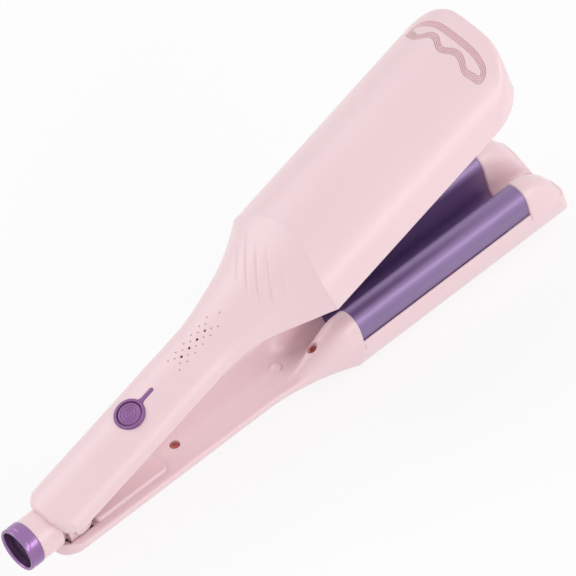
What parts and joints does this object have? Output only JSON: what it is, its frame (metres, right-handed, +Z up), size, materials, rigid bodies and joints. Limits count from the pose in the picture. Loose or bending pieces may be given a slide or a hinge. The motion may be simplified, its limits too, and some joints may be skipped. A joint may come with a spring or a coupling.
{
  "type": "hair waver",
  "caption": "Two-arm heated hair waver: slim handles on a sprung hinge, wide crowned cover over deep-wave plates, button on the handle.",
  "frame": {"origin": "under the middle of the overall box, on the surface that the lower barrel stands on, arms fully open", "axes": "+X from the cord end to the tips along the lower arm, +Y sideways, +Z up; the upper arm opens about the hinge pin along Y"},
  "size_m": [0.3068, 0.0686, 0.1373],
  "materials": {
    "pink_plastic": "satin pale pink",
    "purple_plate": "satin metallic purple ceramic coat",
    "heater_ceramic": "white ceramic, raw",
    "spring_steel": "bright spring steel",
    "shield_foil": "bright sheet",
    "sensor_metal": "tinned",
    "screw_steel": "zinc plated",
    "pin_steel": "ground",
    "pad_rubber": "moulded",
    "purple_ring": "glossy metallic purple",
    "dark_gland": "dark",
    "board_green": "solder mask",
    "chip_black": "moulded",
    "switch_body": "moulded",
    "lamp_dark": "smoked clear",
    "purple_button": "satin purple"
  },
  "bodies": {
    "lower_arm": {"lower_cover": "pink_plastic", "lower_frame": "pink_plastic", "lower_plate": "purple_plate", "lower_heater": "heater_ceramic", "lower_heater_clamp": "spring_steel", "lower_heat_shield": "shield_foil", "thermal_fuse": "sensor_metal", "lower_screws": "screw_steel", "hinge_pin": "pin_steel", "pin_caps": "pink_plastic", "opening_spring": "spring_steel", "stop_pads": "pad_rubber", "cord_collar": "pink_plastic", "collar_ring": "purple_ring"},
    "upper_arm": {"upper_cover": "pink_plastic", "upper_frame": "pink_plastic", "upper_plate": "purple_plate", "upper_heater": "heater_ceramic", "upper_heater_clamp": "spring_steel", "upper_heat_shield": "shield_foil", "temperature_sensor": "sensor_metal", "upper_screws": "screw_steel", "control_board": "board_green", "board_parts": "chip_black", "board_screws": "screw_steel", "tact_switch": "switch_body", "light_pipes": "lamp_dark", "button_bezel": "purple_button"},
    "power_button": {"power_button": "purple_button"},
    "cord_swivel": {"cord_gland": "dark_gland"}
  },
  "joints": [
    {"name": "arm_hinge", "type": "hinge", "parent": "lower_arm", "child": "upper_arm", "pos_m": [-0.12487, 0, 0.0255], "axis": [0, 1, 0], "range_deg": [0, 18.5], "stiffness_Nm_per_rad": 1, "springref_deg": -28.65, "deforming": ["opening_spring"]},
    {"name": "power_button_press", "type": "slide", "parent": "upper_arm", "child": "power_button", "axis": [0.3173, 0, -0.9483], "range_m": [0, 0.0005], "stiffness_N_per_m": 1500, "springref_m": -0.0005},
    {"name": "cord_swivel_turn", "type": "hinge", "parent": "lower_arm", "child": "cord_swivel", "pos_m": [-0.14537, 0, 0.0255], "axis": [1, 0, 0], "continuous": true}
  ]
}
